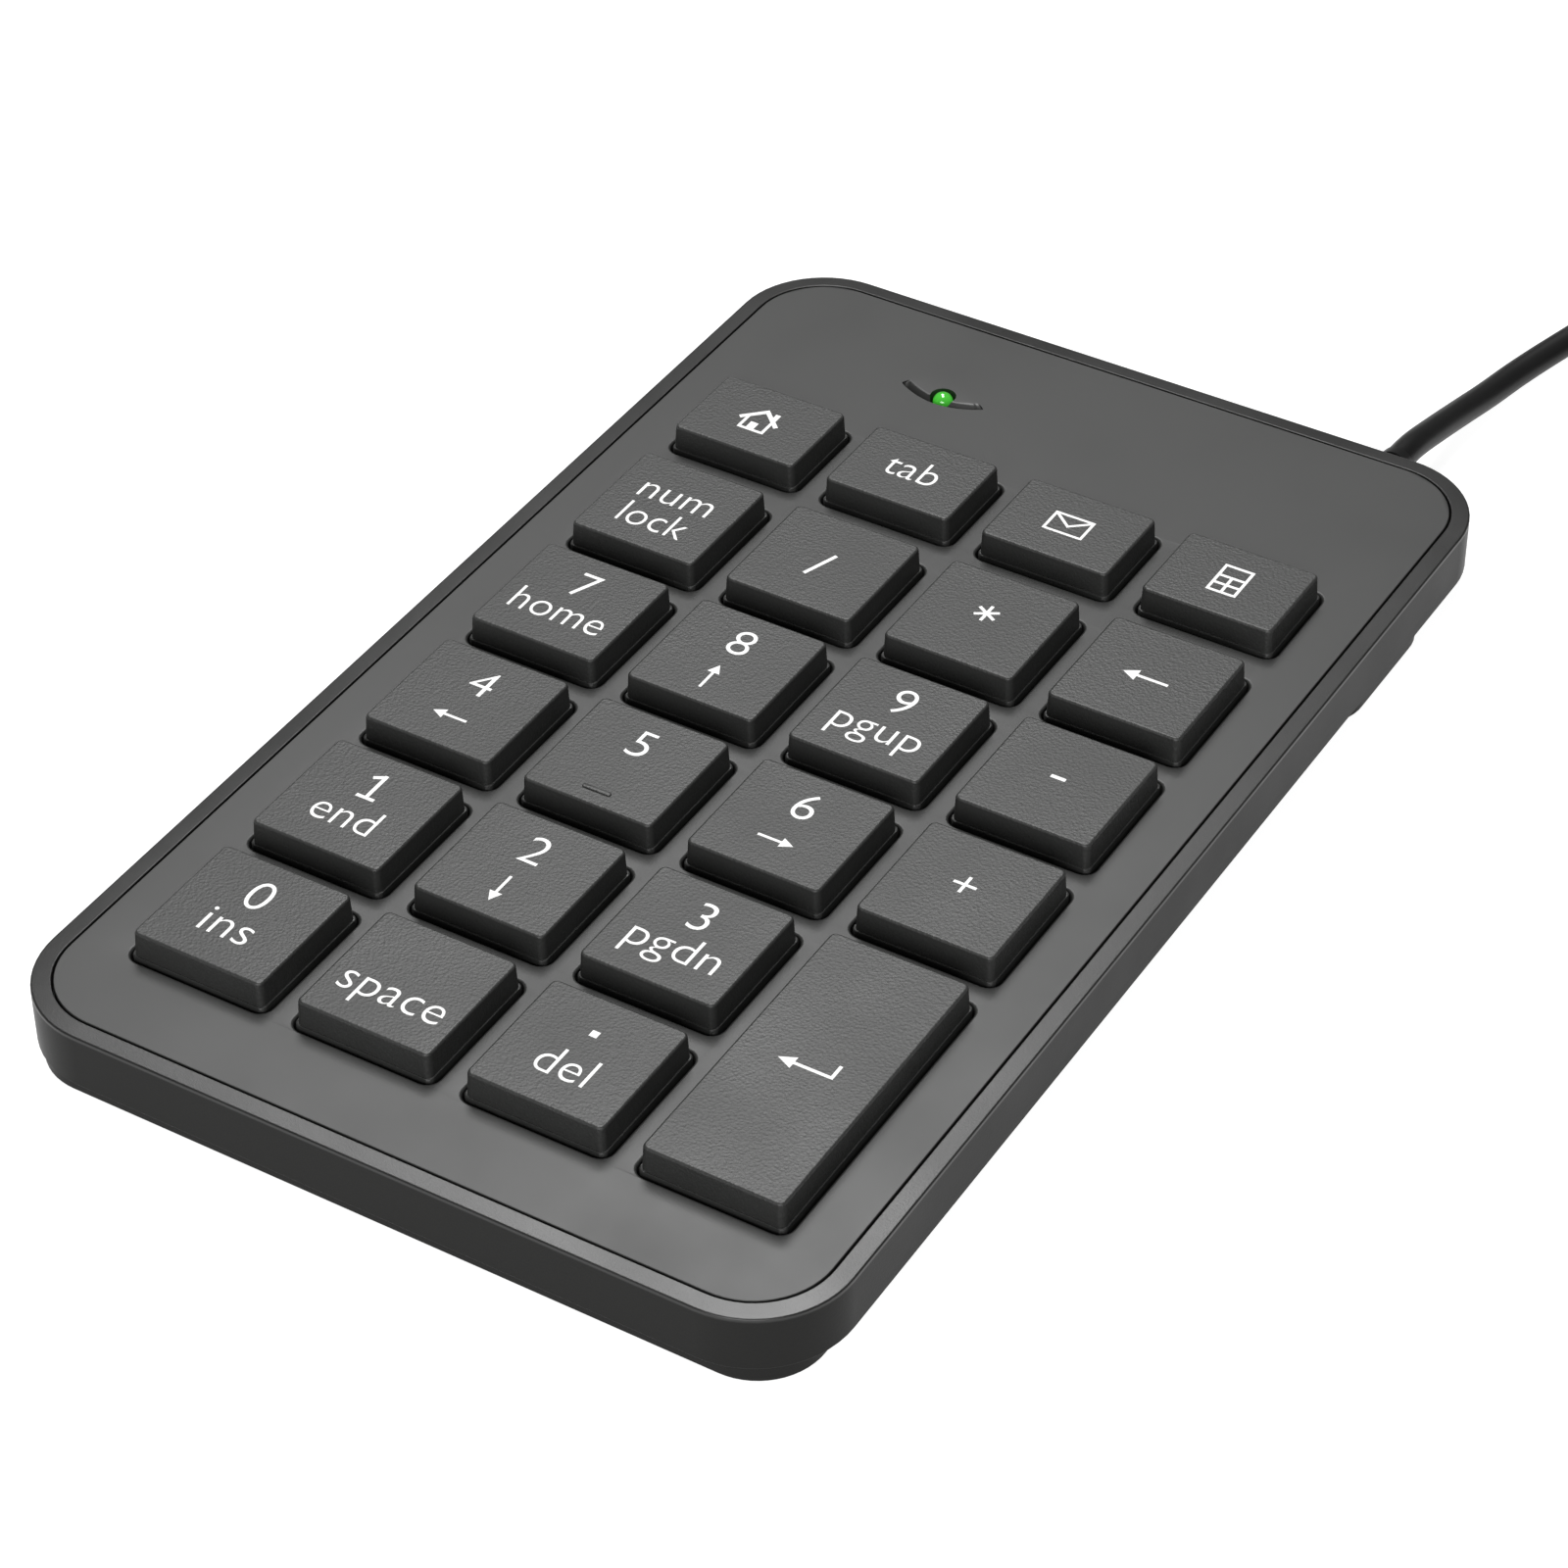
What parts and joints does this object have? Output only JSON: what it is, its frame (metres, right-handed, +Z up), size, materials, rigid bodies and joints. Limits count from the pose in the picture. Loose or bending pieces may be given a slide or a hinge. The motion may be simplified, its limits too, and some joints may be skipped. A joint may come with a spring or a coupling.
{
  "type": "wired numeric keypad",
  "caption": "Flat wired numeric keypad with rubber-dome membrane keys, an indicator lamp, a shallow two-piece case and a USB cord wound in a neat coil.",
  "frame": {"origin": "on the table, under the middle of the case", "axes": "+X to the user's right, +Y away from the user towards the cord, +Z up; the key tops lie parallel to the table"},
  "size_m": [0.1481, 0.2277, 0.0124],
  "materials": {
    "case_plastic": "satin moulded, fine grain",
    "panel_plastic": "smooth matt",
    "key_plastic": "fine spark-eroded grain, printed white legends",
    "green_lamp": "clear tinted epoxy",
    "steel": "zinc plated",
    "plug_steel": "nickel plated sheet",
    "dome_silicone": "translucent silicone",
    "film": "polyester film with printed tracks",
    "board": "solder mask",
    "component": "moulded epoxy",
    "light_plastic": "smooth",
    "rubber": "matt",
    "cord_rubber": "satin cord jacket",
    "label": "blank silver-grey label"
  },
  "bodies": {
    "case": {"lower_case": "case_plastic", "top_cover": "panel_plastic", "dome_sheet": "dome_silicone", "lower_contact_film": "film", "spacer_film": "film", "upper_contact_film": "film", "controller_board": "board", "controller_chip": "component", "filter_capacitor": "component", "num_lock_lamp": "green_lamp", "tail_clamp_bar": "steel", "tail_pressure_strip": "rubber", "cord_connector": "light_plastic", "case_screw_1": "steel", "case_screw_2": "steel", "case_screw_3": "steel", "case_screw_4": "steel", "case_screw_5": "steel", "case_screw_6": "steel", "board_screw_1": "steel", "board_screw_2": "steel", "rubber_foot_1": "rubber", "rubber_foot_2": "rubber", "rubber_foot_3": "rubber", "rubber_foot_4": "rubber", "rating_label": "label", "strain_relief": "cord_rubber", "inner_lead": "cord_rubber", "usb_cord": "cord_rubber", "usb_cord_end": "cord_rubber", "usb_cord_coil": "cord_rubber", "cord_tie": "rubber", "plug_grip": "cord_rubber", "plug_shell": "plug_steel", "plug_tongue": "light_plastic"},
    "key_home_page": {"key_home_page": "key_plastic"},
    "key_tab": {"key_tab": "key_plastic"},
    "key_mail": {"key_mail": "key_plastic"},
    "key_calculator": {"key_calculator": "key_plastic"},
    "key_num_lock": {"key_num_lock": "key_plastic"},
    "key_divide": {"key_divide": "key_plastic"},
    "key_multiply": {"key_multiply": "key_plastic"},
    "key_backspace": {"key_backspace": "key_plastic"},
    "key_7": {"key_7": "key_plastic"},
    "key_8": {"key_8": "key_plastic"},
    "key_9": {"key_9": "key_plastic"},
    "key_minus": {"key_minus": "key_plastic"},
    "key_4": {"key_4": "key_plastic"},
    "key_5": {"key_5": "key_plastic"},
    "key_6": {"key_6": "key_plastic"},
    "key_plus": {"key_plus": "key_plastic"},
    "key_1": {"key_1": "key_plastic"},
    "key_2": {"key_2": "key_plastic"},
    "key_3": {"key_3": "key_plastic"},
    "key_enter": {"key_enter": "key_plastic"},
    "key_0": {"key_0": "key_plastic"},
    "key_space": {"key_space": "key_plastic"},
    "key_decimal": {"key_decimal": "key_plastic"},
    "enter_stabilizer": {"enter_stabilizer_wire": "steel"}
  },
  "joints": [
    {"name": "press_home_page", "type": "slide", "parent": "case", "child": "key_home_page", "axis": [0, 0, -1], "range_m": [0, 0.0024], "stiffness_N_per_m": 120, "springref_m": -0.002, "deforming": ["dome_sheet"]},
    {"name": "press_tab", "type": "slide", "parent": "case", "child": "key_tab", "axis": [0, 0, -1], "range_m": [0, 0.0024], "stiffness_N_per_m": 120, "springref_m": -0.002, "deforming": ["dome_sheet"]},
    {"name": "press_mail", "type": "slide", "parent": "case", "child": "key_mail", "axis": [0, 0, -1], "range_m": [0, 0.0024], "stiffness_N_per_m": 120, "springref_m": -0.002, "deforming": ["dome_sheet"]},
    {"name": "press_calculator", "type": "slide", "parent": "case", "child": "key_calculator", "axis": [0, 0, -1], "range_m": [0, 0.0024], "stiffness_N_per_m": 120, "springref_m": -0.002, "deforming": ["dome_sheet"]},
    {"name": "press_num_lock", "type": "slide", "parent": "case", "child": "key_num_lock", "axis": [0, 0, -1], "range_m": [0, 0.0024], "stiffness_N_per_m": 120, "springref_m": -0.002, "deforming": ["dome_sheet"]},
    {"name": "press_divide", "type": "slide", "parent": "case", "child": "key_divide", "axis": [0, 0, -1], "range_m": [0, 0.0024], "stiffness_N_per_m": 120, "springref_m": -0.002, "deforming": ["dome_sheet"]},
    {"name": "press_multiply", "type": "slide", "parent": "case", "child": "key_multiply", "axis": [0, 0, -1], "range_m": [0, 0.0024], "stiffness_N_per_m": 120, "springref_m": -0.002, "deforming": ["dome_sheet"]},
    {"name": "press_backspace", "type": "slide", "parent": "case", "child": "key_backspace", "axis": [0, 0, -1], "range_m": [0, 0.0024], "stiffness_N_per_m": 120, "springref_m": -0.002, "deforming": ["dome_sheet"]},
    {"name": "press_7", "type": "slide", "parent": "case", "child": "key_7", "axis": [0, 0, -1], "range_m": [0, 0.0024], "stiffness_N_per_m": 120, "springref_m": -0.002, "deforming": ["dome_sheet"]},
    {"name": "press_8", "type": "slide", "parent": "case", "child": "key_8", "axis": [0, 0, -1], "range_m": [0, 0.0024], "stiffness_N_per_m": 120, "springref_m": -0.002, "deforming": ["dome_sheet"]},
    {"name": "press_9", "type": "slide", "parent": "case", "child": "key_9", "axis": [0, 0, -1], "range_m": [0, 0.0024], "stiffness_N_per_m": 120, "springref_m": -0.002, "deforming": ["dome_sheet"]},
    {"name": "press_minus", "type": "slide", "parent": "case", "child": "key_minus", "axis": [0, 0, -1], "range_m": [0, 0.0024], "stiffness_N_per_m": 120, "springref_m": -0.002, "deforming": ["dome_sheet"]},
    {"name": "press_4", "type": "slide", "parent": "case", "child": "key_4", "axis": [0, 0, -1], "range_m": [0, 0.0024], "stiffness_N_per_m": 120, "springref_m": -0.002, "deforming": ["dome_sheet"]},
    {"name": "press_5", "type": "slide", "parent": "case", "child": "key_5", "axis": [0, 0, -1], "range_m": [0, 0.0024], "stiffness_N_per_m": 120, "springref_m": -0.002, "deforming": ["dome_sheet"]},
    {"name": "press_6", "type": "slide", "parent": "case", "child": "key_6", "axis": [0, 0, -1], "range_m": [0, 0.0024], "stiffness_N_per_m": 120, "springref_m": -0.002, "deforming": ["dome_sheet"]},
    {"name": "press_plus", "type": "slide", "parent": "case", "child": "key_plus", "axis": [0, 0, -1], "range_m": [0, 0.0024], "stiffness_N_per_m": 120, "springref_m": -0.002, "deforming": ["dome_sheet"]},
    {"name": "press_1", "type": "slide", "parent": "case", "child": "key_1", "axis": [0, 0, -1], "range_m": [0, 0.0024], "stiffness_N_per_m": 120, "springref_m": -0.002, "deforming": ["dome_sheet"]},
    {"name": "press_2", "type": "slide", "parent": "case", "child": "key_2", "axis": [0, 0, -1], "range_m": [0, 0.0024], "stiffness_N_per_m": 120, "springref_m": -0.002, "deforming": ["dome_sheet"]},
    {"name": "press_3", "type": "slide", "parent": "case", "child": "key_3", "axis": [0, 0, -1], "range_m": [0, 0.0024], "stiffness_N_per_m": 120, "springref_m": -0.002, "deforming": ["dome_sheet"]},
    {"name": "press_enter", "type": "slide", "parent": "case", "child": "key_enter", "axis": [0, 0, -1], "range_m": [0, 0.0024], "stiffness_N_per_m": 120, "springref_m": -0.002, "deforming": ["dome_sheet"]},
    {"name": "press_0", "type": "slide", "parent": "case", "child": "key_0", "axis": [0, 0, -1], "range_m": [0, 0.0024], "stiffness_N_per_m": 120, "springref_m": -0.002, "deforming": ["dome_sheet"]},
    {"name": "press_space", "type": "slide", "parent": "case", "child": "key_space", "axis": [0, 0, -1], "range_m": [0, 0.0024], "stiffness_N_per_m": 120, "springref_m": -0.002, "deforming": ["dome_sheet"]},
    {"name": "press_decimal", "type": "slide", "parent": "case", "child": "key_decimal", "axis": [0, 0, -1], "range_m": [0, 0.0024], "stiffness_N_per_m": 120, "springref_m": -0.002, "deforming": ["dome_sheet"]},
    {"name": "stabilizer_turn", "type": "hinge", "parent": "case", "child": "enter_stabilizer", "pos_m": [0.02397, -0.04478, 0.0062], "axis": [0, 1, 0], "range_deg": [0, 14.8]}
  ],
  "couplings": [
    {"joint": "stabilizer_turn", "follows": "press_enter", "rad_per_m": 106.18}
  ]
}
